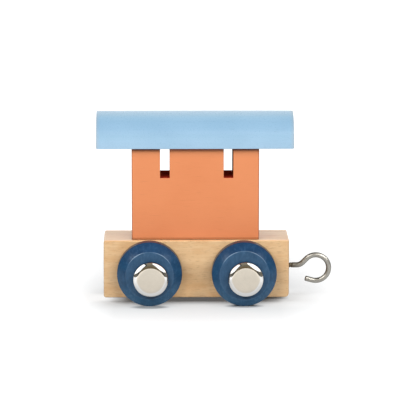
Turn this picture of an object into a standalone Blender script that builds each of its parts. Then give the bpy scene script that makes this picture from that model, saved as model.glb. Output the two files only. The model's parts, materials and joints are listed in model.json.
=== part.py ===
"""Wooden toy train car.

A square chassis block carries a slotted cabin block and a half-round roof moulding, all glued and
dowelled.  Two steel axles run through the chassis.  Four turned wheels hang loosely on them, held
on by plated caps with a sprung star washer inside.  A wire hook is screwed into one end.

Units are metres.  +Z is up, +X points to the hook end, -Y is the right-hand side.  The origin is
on the ground, below the middle of the overall length.
"""
import math

import bmesh
import bpy
from mathutils import Matrix, Vector

MM = 0.001
OBJECT_NAME = "letter_train_car"

# ---------------------------------------------------------------- driving dimensions (millimetres)
FIT_GAP = 0.30            # gap between glued or touching faces

CHASSIS_LENGTH = 65.8
CHASSIS_WIDTH = 21.2
CHASSIS_HEIGHT = 20.5
CHASSIS_UNDERSIDE = 2.25  # ground clearance
CHASSIS_EDGE = 0.9        # edge rounding

CABIN_LENGTH = 45.1
CABIN_WIDTH = 17.5
CABIN_OFFSET = -0.30      # cabin centre from chassis centre, along X
CABIN_EDGE = 0.45
SLOT_WIDTH = 3.40
SLOT_DEPTH = 10.63        # from the underside of the roof
SLOT_REAR = -10.8         # slot centres from the cabin's centre
SLOT_FRONT = 11.7

ROOF_LENGTH = 69.85
ROOF_RADIUS = 10.5        # half-round top
ROOF_SIDE = 1.65          # straight sides below the half round
ROOF_UNDERSIDE = 55.55    # above the ground
ROOF_OFFSET = -0.425      # roof centre from chassis centre, along X
ROOF_EDGE = 0.4
ROOF_ARC_STEPS = 32

WHEEL_RADIUS = 11.5
WHEEL_WIDTH = 7.0
WHEEL_FACE_RADIUS = 8.6   # flat part of each face
WHEEL_SHOULDER = 3.0      # depth of the rounded shoulder on the outer side
WHEEL_BACK_EDGE = 0.4     # small edge break on the side towards the chassis
WHEEL_BORE = 3.2          # bore radius: a loose fit, the wheel hangs on the rod
WHEEL_CLEARANCE = 0.35    # wheel to chassis side
WHEEL_STEPS = 42          # a flat of the polygon faces the ground
WHEEL_BASE = 33.5
WHEEL_OFFSET = 0.15       # middle of the wheelbase from chassis centre, along X

AXLE_RADIUS = 2.0
AXLE_DROP = 1.01          # rod centre below the wheel centre: the rod lies in the bottom of the bore
AXLE_LEAD = 0.42          # rod centre ahead of the wheel centre: it has rolled a little up the side of the bore
AXLE_BORE = 2.15          # bore radius in the chassis

CAP_RADIUS = 6.2
CAP_HEIGHT = 2.9
CAP_ROUND = 1.85          # rounding of the cap's front edge
CAP_WALL = 0.5
CAP_STEPS = 24
CAP_GAP = 0.3             # cap to wheel face

STAR_RADIUS = 5.4
STAR_BITE = 2.07          # radius of the tooth tips, just outside the rod
STAR_ROOT = 3.6
STAR_TEETH = 6
STAR_THICK = 0.35

HOOK_WIRE = 0.875         # wire radius
HOOK_HEIGHT = 11.88       # shank axis above the ground
HOOK_LOOP = 4.75          # centreline radius of the loop
HOOK_LOOP_X = 10.0        # loop centre from the chassis end
HOOK_LOOP_DZ = -1.03      # loop centre from the shank axis
HOOK_BEND = 3.0           # radius of the bend at the foot of the loop
HOOK_TIP = 2.3            # straight end after the loop
HOOK_SCREW = 10.5         # length screwed into the wood
HOOK_PILOT = 1.05         # radius of the pilot hole

CABIN_DOWEL_RADIUS = 2.5
CABIN_DOWEL_LENGTH = 18.0
CABIN_DOWEL_SPAN = 18.0   # between the two dowels
ROOF_DOWEL_RADIUS = 2.0
ROOF_DOWEL_LENGTH = 12.0
DOWEL_CLEARANCE = 0.12    # dowel to hole, on the radius

# ---------------------------------------------------------------- derived positions (millimetres)
HOOK_REACH = HOOK_LOOP_X + HOOK_LOOP + HOOK_WIRE
CHASSIS_X = (ROOF_LENGTH / 2 - ROOF_OFFSET - CHASSIS_LENGTH / 2 - HOOK_REACH) / 2
CHASSIS_TOP = CHASSIS_UNDERSIDE + CHASSIS_HEIGHT
CHASSIS_END = CHASSIS_X + CHASSIS_LENGTH / 2
CABIN_X = CHASSIS_X + CABIN_OFFSET
CABIN_BOTTOM = CHASSIS_TOP + FIT_GAP
CABIN_TOP = ROOF_UNDERSIDE - FIT_GAP
ROOF_X = CHASSIS_X + ROOF_OFFSET
WHEEL_Y = CHASSIS_WIDTH / 2 + WHEEL_CLEARANCE + WHEEL_WIDTH / 2
WHEEL_FACE_Y = WHEEL_Y + WHEEL_WIDTH / 2
WHEEL_Z = WHEEL_RADIUS
AXLE_Z = WHEEL_Z - AXLE_DROP
CAP_Y = WHEEL_FACE_Y + CAP_GAP
AXLE_HALF = CAP_Y + CAP_HEIGHT - CAP_WALL - 0.4
WHEEL_X = {"front": CHASSIS_X + WHEEL_OFFSET + WHEEL_BASE / 2, "rear": CHASSIS_X + WHEEL_OFFSET - WHEEL_BASE / 2}
AXLE_X = {end: x + AXLE_LEAD for end, x in WHEEL_X.items()}
SIDE = {"right": -1.0, "left": 1.0}
ROOF_DOWEL_X = {
    "front": CABIN_X + (SLOT_FRONT + SLOT_WIDTH / 2 + CABIN_LENGTH / 2) / 2,
    "rear": CABIN_X + (SLOT_REAR - SLOT_WIDTH / 2 - CABIN_LENGTH / 2) / 2,
}
CABIN_DOWEL_X = {"front": CABIN_X + CABIN_DOWEL_SPAN / 2, "rear": CABIN_X - CABIN_DOWEL_SPAN / 2}

# ---------------------------------------------------------------- finishes: colour, roughness, metallic
BEECH = ((0.74, 0.51, 0.28), 0.60, 0.0)
ORANGE_PAINT = ((0.80, 0.28, 0.12), 0.55, 0.0)
BLUE_PAINT = ((0.36, 0.60, 0.82), 0.50, 0.0)
NAVY_LACQUER = ((0.02, 0.09, 0.23), 0.25, 0.0)
NICKEL = ((0.68, 0.62, 0.54), 0.15, 1.0)
STEEL = ((0.56, 0.56, 0.57), 0.30, 1.0)
SPRING_STEEL = ((0.30, 0.30, 0.32), 0.35, 1.0)


def mm(*values):
    return Vector([v * MM for v in values])


def clear_scene():
    for ob in list(bpy.data.objects):
        bpy.data.objects.remove(ob, do_unlink=True)


def new_collection(name):
    col = bpy.data.collections.new(name)
    bpy.context.scene.collection.children.link(col)
    return col


def finish_material(name, finish):
    colour, roughness, metallic = finish
    mat = bpy.data.materials.new(name + "_finish")
    mat.use_nodes = True
    bsdf = mat.node_tree.nodes["Principled BSDF"]
    bsdf.inputs["Base Color"].default_value = (*colour, 1.0)
    bsdf.inputs["Roughness"].default_value = roughness
    bsdf.inputs["Metallic"].default_value = metallic
    mat.diffuse_color = (*colour, 1.0)
    return mat


def add_object(name, data, finish, location=(0, 0, 0), rotation=(0, 0, 0), parent=None):
    ob = bpy.data.objects.new(name, data)
    PARTS.objects.link(ob)
    ob.parent = parent
    ob.location = location
    ob.rotation_euler = rotation
    data.materials.append(finish_material(name, finish))
    return ob


def add_cutter(name, mesh, location=(0, 0, 0), rotation=(0, 0, 0)):
    ob = bpy.data.objects.new(name, mesh)
    CUTTERS.objects.link(ob)
    ob.location = location
    ob.rotation_euler = rotation
    ob.hide_render = True
    ob.display_type = "WIRE"
    return ob


def cube_mesh(name, size):
    bm = bmesh.new()
    bmesh.ops.create_cube(bm, size=1.0, matrix=Matrix.Diagonal((*size, 1.0)))
    mesh = bpy.data.meshes.new(name)
    bm.to_mesh(mesh)
    bm.free()
    return mesh


def rod_mesh(name, radius, length, segments):
    bm = bmesh.new()
    bmesh.ops.create_cone(bm, cap_ends=True, segments=segments, radius1=radius, radius2=radius, depth=length)
    mesh = bpy.data.meshes.new(name)
    bm.to_mesh(mesh)
    bm.free()
    mesh.shade_smooth()
    mesh.set_sharp_from_angle(angle=math.radians(40))
    return mesh


def round_edges(ob, width, segments=2, angle=40):
    mod = ob.modifiers.new("rounded_edges", "BEVEL")
    mod.width = width * MM
    mod.segments = segments
    mod.limit_method = "ANGLE"
    mod.angle_limit = math.radians(angle)
    return mod


def cut(ob, cutter):
    mod = ob.modifiers.new(cutter.name, "BOOLEAN")
    mod.operation = "DIFFERENCE"
    mod.solver = "EXACT"
    mod.object = cutter
    return mod


def turned_mesh(name, profile, closed):
    """Profile points (radius, height) as a chain of edges in the XZ plane, for a Screw modifier."""
    bm = bmesh.new()
    verts = [bm.verts.new(mm(r, 0, z)) for r, z in profile]
    for a, b in zip(verts, verts[1:]):
        bm.edges.new((a, b))
    if closed:
        bm.edges.new((verts[-1], verts[0]))
    mesh = bpy.data.meshes.new(name)
    bm.to_mesh(mesh)
    bm.free()
    return mesh


def lathe(ob, steps):
    mod = ob.modifiers.new("turning", "SCREW")
    mod.axis = "Z"
    mod.angle = math.tau
    mod.steps = steps
    mod.render_steps = steps
    mod.use_merge_vertices = True
    mod.merge_threshold = 0.00001
    mod.use_smooth_shade = True
    return mod


def arc(cx, cy, radius, start, end, steps):
    """Points on an arc, angles in degrees, both ends included."""
    return [
        (cx + radius * math.cos(math.radians(start + (end - start) * i / steps)),
         cy + radius * math.sin(math.radians(start + (end - start) * i / steps)))
        for i in range(steps + 1)
    ]


def flat_outline(name, outlines, half_thickness):
    """A filled 2D curve; every outline after the first is a hole in it."""
    curve = bpy.data.curves.new(name, "CURVE")
    curve.dimensions = "2D"
    curve.fill_mode = "BOTH"
    curve.extrude = half_thickness * MM
    for outline in outlines:
        spline = curve.splines.new("POLY")
        spline.points.add(len(outline) - 1)
        for point, (x, y) in zip(spline.points, outline):
            point.co = (x * MM, y * MM, 0.0, 1.0)
        spline.use_cyclic_u = True
    return curve


def as_mesh_object(ob):
    """Turn a curve object into a welded mesh object in the same place."""
    bpy.context.view_layer.update()
    evaluated = ob.evaluated_get(bpy.context.evaluated_depsgraph_get())
    mesh = bpy.data.meshes.new_from_object(evaluated)
    bm = bmesh.new()
    bm.from_mesh(mesh)
    bmesh.ops.remove_doubles(bm, verts=bm.verts, dist=0.000005)
    bmesh.ops.dissolve_limit(bm, angle_limit=math.radians(0.5), verts=bm.verts, edges=bm.edges)
    bm.to_mesh(mesh)
    bm.free()
    name = ob.name
    placed = ob.matrix_world.copy()
    bpy.data.objects.remove(ob, do_unlink=True)
    made = bpy.data.objects.new(name, mesh)
    PARTS.objects.link(made)
    made.name = name
    made.matrix_world = placed
    return made


# ---------------------------------------------------------------- wooden blocks
def build_chassis():
    ob = add_object(
        "chassis_block",
        cube_mesh("chassis_block", mm(CHASSIS_LENGTH, CHASSIS_WIDTH, CHASSIS_HEIGHT)),
        BEECH,
        mm(CHASSIS_X, 0, CHASSIS_UNDERSIDE + CHASSIS_HEIGHT / 2),
    )
    round_edges(ob, CHASSIS_EDGE, 3)
    for end, x in AXLE_X.items():
        cut(ob, add_cutter(
            f"cut_axle_bore_{end}",
            rod_mesh("cut_axle_bore", AXLE_BORE * MM, (CHASSIS_WIDTH + 10) * MM, 24),
            mm(x, 0, AXLE_Z), (math.pi / 2, 0, 0)))
    for end, x in CABIN_DOWEL_X.items():
        cut(ob, add_cutter(
            f"cut_chassis_dowel_{end}",
            rod_mesh("cut_chassis_dowel", (CABIN_DOWEL_RADIUS + DOWEL_CLEARANCE) * MM, CABIN_DOWEL_LENGTH * MM, 20),
            mm(x, 0, CHASSIS_TOP - 0.5)))
    pilot = HOOK_SCREW + 1.0
    cut(ob, add_cutter(
        "cut_hook_pilot",
        rod_mesh("cut_hook_pilot", HOOK_PILOT * MM, 2 * pilot * MM, 16),
        mm(CHASSIS_END, 0, HOOK_HEIGHT), (0, math.pi / 2, 0)))
    return ob


def build_cabin():
    height = CABIN_TOP - CABIN_BOTTOM
    ob = add_object(
        "cabin_block",
        cube_mesh("cabin_block", mm(CABIN_LENGTH, CABIN_WIDTH, height)),
        ORANGE_PAINT,
        mm(CABIN_X, 0, CABIN_BOTTOM + height / 2),
    )
    round_edges(ob, CABIN_EDGE, 2)
    for end, x in (("rear", SLOT_REAR), ("front", SLOT_FRONT)):
        cut(ob, add_cutter(
            f"cut_slot_{end}",
            cube_mesh("cut_slot", mm(SLOT_WIDTH, CABIN_WIDTH + 10, 2 * SLOT_DEPTH)),
            mm(CABIN_X + x, 0, ROOF_UNDERSIDE)))
    for end, x in CABIN_DOWEL_X.items():
        cut(ob, add_cutter(
            f"cut_cabin_foot_{end}",
            rod_mesh("cut_cabin_foot", (CABIN_DOWEL_RADIUS + DOWEL_CLEARANCE) * MM, (CABIN_DOWEL_LENGTH + 1) * MM, 20),
            mm(x, 0, CABIN_BOTTOM)))
    for end, x in ROOF_DOWEL_X.items():
        cut(ob, add_cutter(
            f"cut_cabin_head_{end}",
            rod_mesh("cut_cabin_head", (ROOF_DOWEL_RADIUS + DOWEL_CLEARANCE) * MM, (ROOF_DOWEL_LENGTH + 1) * MM, 20),
            mm(x, 0, CABIN_TOP)))
    return ob


def build_roof():
    outline = [(-ROOF_RADIUS, 0.0), (ROOF_RADIUS, 0.0)] + arc(0, ROOF_SIDE, ROOF_RADIUS, 0, 180, ROOF_ARC_STEPS)
    curve = flat_outline("roof", [outline], ROOF_LENGTH / 2)
    ob = bpy.data.objects.new("roof", curve)
    PARTS.objects.link(ob)
    ob.location = mm(ROOF_X, 0, ROOF_UNDERSIDE)
    # outline X becomes world Y, outline Y becomes world Z, thickness runs along world X
    ob.rotation_euler = (math.pi / 2, 0, math.pi / 2)
    ob = as_mesh_object(ob)
    ob.data.materials.clear()
    ob.data.materials.append(finish_material("roof", BLUE_PAINT))
    ob.data.shade_smooth()
    ob.data.set_sharp_from_angle(angle=math.radians(40))
    round_edges(ob, ROOF_EDGE, 2, 50)
    for end, x in ROOF_DOWEL_X.items():
        cut(ob, add_cutter(
            f"cut_roof_dowel_{end}",
            rod_mesh("cut_roof_dowel", (ROOF_DOWEL_RADIUS + DOWEL_CLEARANCE) * MM, (ROOF_DOWEL_LENGTH + 1) * MM, 20),
            mm(x, 0, ROOF_UNDERSIDE)))
    return ob


def build_dowels():
    for end, x in CABIN_DOWEL_X.items():
        ob = add_object(
            f"cabin_dowel_{end}",
            rod_mesh("cabin_dowel", CABIN_DOWEL_RADIUS * MM, (CABIN_DOWEL_LENGTH - 1.6) * MM, 20),
            BEECH, mm(x, 0, (CHASSIS_TOP + CABIN_BOTTOM) / 2))
        round_edges(ob, 0.5, 1)
    for end, x in ROOF_DOWEL_X.items():
        ob = add_object(
            f"roof_dowel_{end}",
            rod_mesh("roof_dowel", ROOF_DOWEL_RADIUS * MM, (ROOF_DOWEL_LENGTH - 0.4) * MM, 20),
            BEECH, mm(x, 0, (CABIN_TOP + ROOF_UNDERSIDE) / 2))
        round_edges(ob, 0.5, 1)


# ---------------------------------------------------------------- wheels, axles, caps
def wheel_profile():
    """Closed ring section: outer face up, rounded shoulder, flat tread to the back, bore on the inside."""
    half = WHEEL_WIDTH / 2
    flat = half - WHEEL_SHOULDER
    rim = WHEEL_RADIUS / math.cos(math.pi / WHEEL_STEPS)
    curve = 3
    shoulder = []
    for i in range(curve + 1):
        # quarter ellipse from the face's edge to the tread, started a little way round for a crisp edge
        t = math.radians(18 + (90 - 18) * i / curve)
        shoulder.append((math.sin(t), math.cos(t)))
    s0, c0 = shoulder[0]
    rise = [(WHEEL_FACE_RADIUS + (rim - WHEEL_FACE_RADIUS) * (s - s0) / (1 - s0),
             flat + (half - flat) * c / c0) for s, c in shoulder]
    outer = rise + [(rim, WHEEL_BACK_EDGE - half), (rim - WHEEL_BACK_EDGE, -half)]
    return [(WHEEL_BORE, half)] + outer + [(WHEEL_BORE, -half)]


def cap_profile():
    """Thin cup, front face up: outer skin down to the rear lip, then back up the inside."""
    front = CAP_HEIGHT
    face = CAP_RADIUS - CAP_ROUND
    skin = [(0.0, front)] + [(face + CAP_ROUND * math.sin(math.radians(a)), front - CAP_ROUND * (1 - math.cos(math.radians(a))))
                             for a in range(0, 91, 30)]
    lip_inner = CAP_RADIUS - 1.15
    rear = [(CAP_RADIUS, 0.25), (CAP_RADIUS - 0.25, 0.0), (lip_inner, 0.0), (lip_inner, 0.38)]
    wall = CAP_RADIUS - CAP_WALL
    seat = [(wall, 0.38), (wall, 0.98)]
    inner_round = CAP_ROUND - CAP_WALL
    inside = [(face + inner_round * math.sin(math.radians(a)),
               front - CAP_WALL - inner_round * (1 - math.cos(math.radians(a)))) for a in range(90, -1, -45)]
    return skin + rear + seat + inside + [(0.0, front - CAP_WALL)]


def star_outlines():
    rim = [(STAR_RADIUS * math.cos(math.tau * i / 32), STAR_RADIUS * math.sin(math.tau * i / 32)) for i in range(32)]
    teeth = []
    pitch = math.tau / STAR_TEETH
    for i in range(STAR_TEETH):
        for radius, turn in ((STAR_BITE, -0.30), (STAR_BITE / math.cos(0.30 * pitch), 0.0), (STAR_BITE, 0.30),
                             (STAR_ROOT, 0.40), (STAR_ROOT, 0.60)):
            angle = (i + turn) * pitch
            r = STAR_BITE / math.cos(0.30 * pitch) if radius < STAR_ROOT else STAR_ROOT
            teeth.append((r * math.cos(angle), r * math.sin(angle)))
    return [rim, teeth]


def build_wheels():
    for end, x in WHEEL_X.items():
        for side, sign in SIDE.items():
            name = f"wheel_{end}_{side}"
            ob = add_object(name, turned_mesh(name, wheel_profile(), True), NAVY_LACQUER,
                            mm(x, sign * WHEEL_Y, WHEEL_Z), (-sign * math.pi / 2, 0, 0))
            lathe(ob, WHEEL_STEPS)


def build_axles():
    for end, x in AXLE_X.items():
        pivot = bpy.data.objects.new(f"{end}_axle_pivot", None)
        PARTS.objects.link(pivot)
        pivot.location = mm(x, 0, AXLE_Z)
        rod = add_object(f"{end}_axle", rod_mesh(f"{end}_axle", AXLE_RADIUS * MM, 2 * AXLE_HALF * MM, 24), STEEL,
                         rotation=(math.pi / 2, 0, 0), parent=pivot)
        round_edges(rod, 0.35, 1)
        for side, sign in SIDE.items():
            turn = (-sign * math.pi / 2, 0, 0)
            name = f"axle_cap_{end}_{side}"
            cap = add_object(name, turned_mesh(name, cap_profile(), False), NICKEL,
                             mm(0, sign * CAP_Y, 0), turn, pivot)
            lathe(cap, CAP_STEPS)
            name = f"star_washer_{end}_{side}"
            add_object(name, flat_outline(name, star_outlines(), STAR_THICK / 2), SPRING_STEEL,
                       mm(0, sign * (CAP_Y + 0.68), 0), turn, pivot)


# ---------------------------------------------------------------- coupling hook
def hook_path():
    """Centreline (x, z) from the screw point to the open end, with a radius factor for each point."""
    shank_z = HOOK_HEIGHT
    loop = (CHASSIS_END + HOOK_LOOP_X, shank_z + HOOK_LOOP_DZ)
    entry = (loop[0] + HOOK_LOOP * math.cos(math.radians(135)), loop[1] + HOOK_LOOP * math.sin(math.radians(135)))
    corner = entry[0] - (entry[1] - shank_z)          # the 45 degree rise meets the shank axis here
    setback = HOOK_BEND * math.tan(math.radians(22.5))
    points = []
    start = CHASSIS_END - HOOK_SCREW
    for length, factor in ((0.0, 0.10), (0.6, 0.45), (1.5, 0.80), (2.4, 1.0)):
        points.append((start + length, shank_z, factor))
    points.append((CHASSIS_END - 2.0, shank_z, 1.0))
    points += [(px, pz, 1.0) for px, pz in arc(corner - setback, shank_z + HOOK_BEND, HOOK_BEND, 270, 315, 5)]
    points += [(px, pz, 1.0) for px, pz in arc(loop[0], loop[1], HOOK_LOOP, 135, -105, 30)]
    end = math.radians(-105)
    ex, ez = loop[0] + HOOK_LOOP * math.cos(end), loop[1] + HOOK_LOOP * math.sin(end)
    tx, tz = math.sin(end), -math.cos(end)
    for length, factor in ((HOOK_TIP, 1.0), (HOOK_TIP + 0.22, 0.88), (HOOK_TIP + 0.40, 0.55)):
        points.append((ex + tx * length, ez + tz * length, factor))
    return points


def build_hook():
    path = hook_path()
    curve = bpy.data.curves.new("coupling_hook", "CURVE")
    curve.dimensions = "3D"
    curve.twist_mode = "Z_UP"
    curve.bevel_depth = HOOK_WIRE * MM
    curve.bevel_resolution = 3
    curve.use_fill_caps = True
    spline = curve.splines.new("POLY")
    spline.points.add(len(path) - 1)
    for point, (x, z, factor) in zip(spline.points, path):
        # the curve is drawn in its own XY plane, so that its frame never flips, and stood upright below
        point.co = (x * MM, z * MM, 0.0, 1.0)
        point.radius = factor
    return add_object("coupling_hook", curve, NICKEL, rotation=(math.pi / 2, 0, 0))


clear_scene()
PARTS = new_collection(OBJECT_NAME)
CUTTERS = new_collection("cutters")
build_chassis()
build_cabin()
build_roof()
build_dowels()
build_wheels()
build_axles()
build_hook()
bpy.context.view_layer.update()
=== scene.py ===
"""Looks of the wooden toy train car: refined meshes, procedural finishes, studio and camera.

Every length below is in millimetres unless it says otherwise; meshes are built in metres.
"""
import json
import math

import bmesh
import bpy
from mathutils import Matrix, Vector

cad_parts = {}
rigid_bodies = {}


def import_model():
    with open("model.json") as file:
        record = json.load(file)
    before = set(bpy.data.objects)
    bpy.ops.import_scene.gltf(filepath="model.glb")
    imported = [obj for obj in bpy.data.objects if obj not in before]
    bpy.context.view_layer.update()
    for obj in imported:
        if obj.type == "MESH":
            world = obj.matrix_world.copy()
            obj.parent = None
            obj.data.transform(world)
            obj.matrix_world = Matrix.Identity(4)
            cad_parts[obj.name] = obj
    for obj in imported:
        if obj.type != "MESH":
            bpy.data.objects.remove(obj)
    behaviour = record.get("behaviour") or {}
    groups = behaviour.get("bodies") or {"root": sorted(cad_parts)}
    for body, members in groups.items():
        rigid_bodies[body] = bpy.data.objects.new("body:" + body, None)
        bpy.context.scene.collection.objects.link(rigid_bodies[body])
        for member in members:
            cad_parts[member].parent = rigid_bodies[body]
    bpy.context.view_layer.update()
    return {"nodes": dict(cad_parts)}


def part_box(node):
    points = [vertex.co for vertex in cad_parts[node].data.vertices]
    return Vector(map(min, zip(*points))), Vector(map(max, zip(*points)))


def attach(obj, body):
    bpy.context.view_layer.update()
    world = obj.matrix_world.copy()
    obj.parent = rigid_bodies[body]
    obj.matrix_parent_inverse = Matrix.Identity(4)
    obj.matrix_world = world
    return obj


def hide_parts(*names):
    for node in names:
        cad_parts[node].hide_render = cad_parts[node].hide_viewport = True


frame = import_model()
MM = 0.001

# ---------------------------------------------------------------- sizes read from the frame (millimetres)


def node_box(name):
    low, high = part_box(name)
    return Vector(low) / MM, Vector(high) / MM


CH_LO, CH_HI = node_box("chassis_block")
CA_LO, CA_HI = node_box("cabin_block")
RO_LO, RO_HI = node_box("roof")
HK_LO, HK_HI = node_box("coupling_hook")

# the same constants as the solids, where a box alone does not give them
CHASSIS_EDGE = {"X": 0.40, "Y": 0.75, "Z": 0.65}
CHASSIS_TOE, CHASSIS_BROW = 1.6, 0.40
CABIN_EDGE, CABIN_FOOT, SLOT_EDGE = 0.45, 0.18, 0.12
SLOT_WIDTH, SLOT_DEPTH = 3.40, 10.63
SLOT_X = (-10.8, 11.7)
ROOF_RADIUS, ROOF_SIDE, ROOF_EDGE, ROOF_EAVE = 10.5, 1.65, 0.35, 0.14
WHEEL_RADIUS, WHEEL_WIDTH, WHEEL_BORE, WHEEL_SHOULDER, WHEEL_BACK = 11.5, 7.0, 3.2, 3.0, 0.4
WHEEL_FACE = {"front": 8.75, "rear": 8.45}
WHEEL_Z, AXLE_BORE = 11.5, 2.15
CAP_RADIUS, CAP_HEIGHT, CAP_ROUND, CAP_WALL = 6.2, 2.9, 1.85, 0.5
CAP_SLOPE = ((0.0, 0.0), (3.9, 0.6), (4.6, 9.0), (5.97, 52.0), (6.2, 90.0))
HOOK_WIRE, HOOK_HEIGHT, HOOK_LOOP, HOOK_LOOP_X, HOOK_LOOP_DZ = 0.95, 11.88, 4.675, 10.0, -1.03
HOOK_BEND, HOOK_TIP, HOOK_SCREW, HOOK_PILOT = 3.0, 2.3, 10.5, 1.05
ENDS = ("front", "rear")
SIDES = {"right": -1.0, "left": 1.0}
AXLE_X = {e: (node_box(f"{e}_axle")[0].x + node_box(f"{e}_axle")[1].x) / 2 for e in ENDS}
AXLE_Z = (node_box("front_axle")[0].z + node_box("front_axle")[1].z) / 2


# ---------------------------------------------------------------- mesh helpers
def new_object(name, mesh):
    ob = bpy.data.objects.new(name, mesh)
    bpy.context.scene.collection.objects.link(ob)
    return ob


def to_object(bm, name, sharp=35):
    bmesh.ops.recalc_face_normals(bm, faces=bm.faces)
    if bm.calc_volume(signed=True) < -1e-12:
        bmesh.ops.reverse_faces(bm, faces=bm.faces)
    mesh = bpy.data.meshes.new(name)
    bm.to_mesh(mesh)
    bm.free()
    mesh.shade_smooth()
    mesh.set_sharp_from_angle(angle=math.radians(sharp))
    return new_object(name, mesh)


def bake_modifiers(ob, sharp=35):
    """Replace an object's mesh by its evaluated one and drop the modifiers."""
    bpy.context.view_layer.update()
    made = bpy.data.meshes.new_from_object(ob.evaluated_get(bpy.context.evaluated_depsgraph_get()))
    ob.modifiers.clear()
    ob.data = made
    made.shade_smooth()
    made.set_sharp_from_angle(angle=math.radians(sharp))


def even_normals(ob):
    mod = ob.modifiers.new("even_normals", "WEIGHTED_NORMAL")
    mod.mode = "FACE_AREA"
    mod.weight = 80
    mod.keep_sharp = True


def boolean_cut(ob, cutters):
    for cutter in cutters:
        mod = ob.modifiers.new("cut", "BOOLEAN")
        mod.operation = "DIFFERENCE"
        mod.solver = "EXACT"
        mod.object = cutter
    bake_modifiers(ob)
    for cutter in cutters:
        bpy.data.objects.remove(cutter, do_unlink=True)


def rod_cutter(radius, length, centre, axis, flare=0.0, segments=64):
    """A plain rod along axis; flare opens both its ends by a 45 degree chamfer."""
    bm = bmesh.new()
    half = length / 2
    rings = [(-half, radius), (half, radius)]
    if flare:
        rings = [(-half - 2, radius + flare + 2), (-half + flare, radius), (half - flare, radius), (half + 2, radius + flare + 2)]
    loops = []
    for z, r in rings:
        loops.append([bm.verts.new((r * MM * math.cos(math.tau * i / segments), r * MM * math.sin(math.tau * i / segments), z * MM))
                      for i in range(segments)])
    for a, b in zip(loops, loops[1:]):
        for i in range(segments):
            j = (i + 1) % segments
            bm.faces.new((a[i], a[j], b[j], b[i]))
    bm.faces.new(list(reversed(loops[0])))
    bm.faces.new(loops[-1])
    ob = to_object(bm, "cutter")
    turn = {"X": Matrix.Rotation(math.pi / 2, 4, "Y"), "Y": Matrix.Rotation(math.pi / 2, 4, "X"), "Z": Matrix.Identity(4)}[axis]
    ob.matrix_world = Matrix.Translation(Vector(centre) * MM) @ turn
    return ob


def dowel_cutters(*names):
    """One rod for each dowel node, a little wider and longer than the dowel."""
    cutters = []
    for name in names:
        low, high = node_box(name)
        cutters.append(rod_cutter((high.x - low.x) / 2 + 0.12, high.z - low.z + 1.0, (low + high) / 2, "Z", segments=40))
    return cutters


def arc(cx, cy, radius, start, end, steps):
    return [(cx + radius * math.cos(math.radians(start + (end - start) * i / steps)),
             cy + radius * math.sin(math.radians(start + (end - start) * i / steps))) for i in range(steps + 1)]


def lathe(name, profile, closed, centre, outward, segments=144):
    """Turn (radius, height) points about the Y axis; height grows towards outward (+1 or -1 in Y)."""
    bm = bmesh.new()
    loops = []
    for r, h in profile:
        y = centre[1] + outward * h
        if r < 1e-6:
            loops.append([bm.verts.new(Vector((centre[0], y, centre[2])) * MM)])
        else:
            loops.append([bm.verts.new(Vector((centre[0] + r * math.cos(math.tau * i / segments), y,
                                               centre[2] + r * math.sin(math.tau * i / segments))) * MM)
                          for i in range(segments)])
    pairs = list(zip(loops, loops[1:]))
    if closed:
        pairs.append((loops[-1], loops[0]))
    for a, b in pairs:
        for i in range(segments):
            j = (i + 1) % segments
            if len(a) == 1:
                bm.faces.new((a[0], b[i], b[j]))
            elif len(b) == 1:
                bm.faces.new((a[i], b[0], a[j]))
            else:
                bm.faces.new((a[i], b[i], b[j], a[j]))
    return to_object(bm, name, 28)


def smooth_corners(points, radii, steps=5):
    """Replace each inner corner of an open (radius, height) chain by a fillet of the given radius."""
    out = [points[0]]
    for i in range(1, len(points) - 1):
        p, q, r = Vector(points[i - 1]), Vector(points[i]), Vector(points[i + 1])
        radius = radii.get(i, 0.0)
        if radius <= 0:
            out.append(tuple(q))
            continue
        a, b = (p - q).normalized(), (r - q).normalized()
        angle = a.angle(b)
        setback = min(radius / math.tan(angle / 2), 0.49 * (p - q).length, 0.49 * (r - q).length)
        t0, t1 = q + a * setback, q + b * setback
        for k in range(steps + 1):
            u = k / steps
            out.append(tuple(t0 * (1 - u) ** 2 + q * 2 * u * (1 - u) + t1 * u ** 2))
    out.append(points[-1])
    return out


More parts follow.
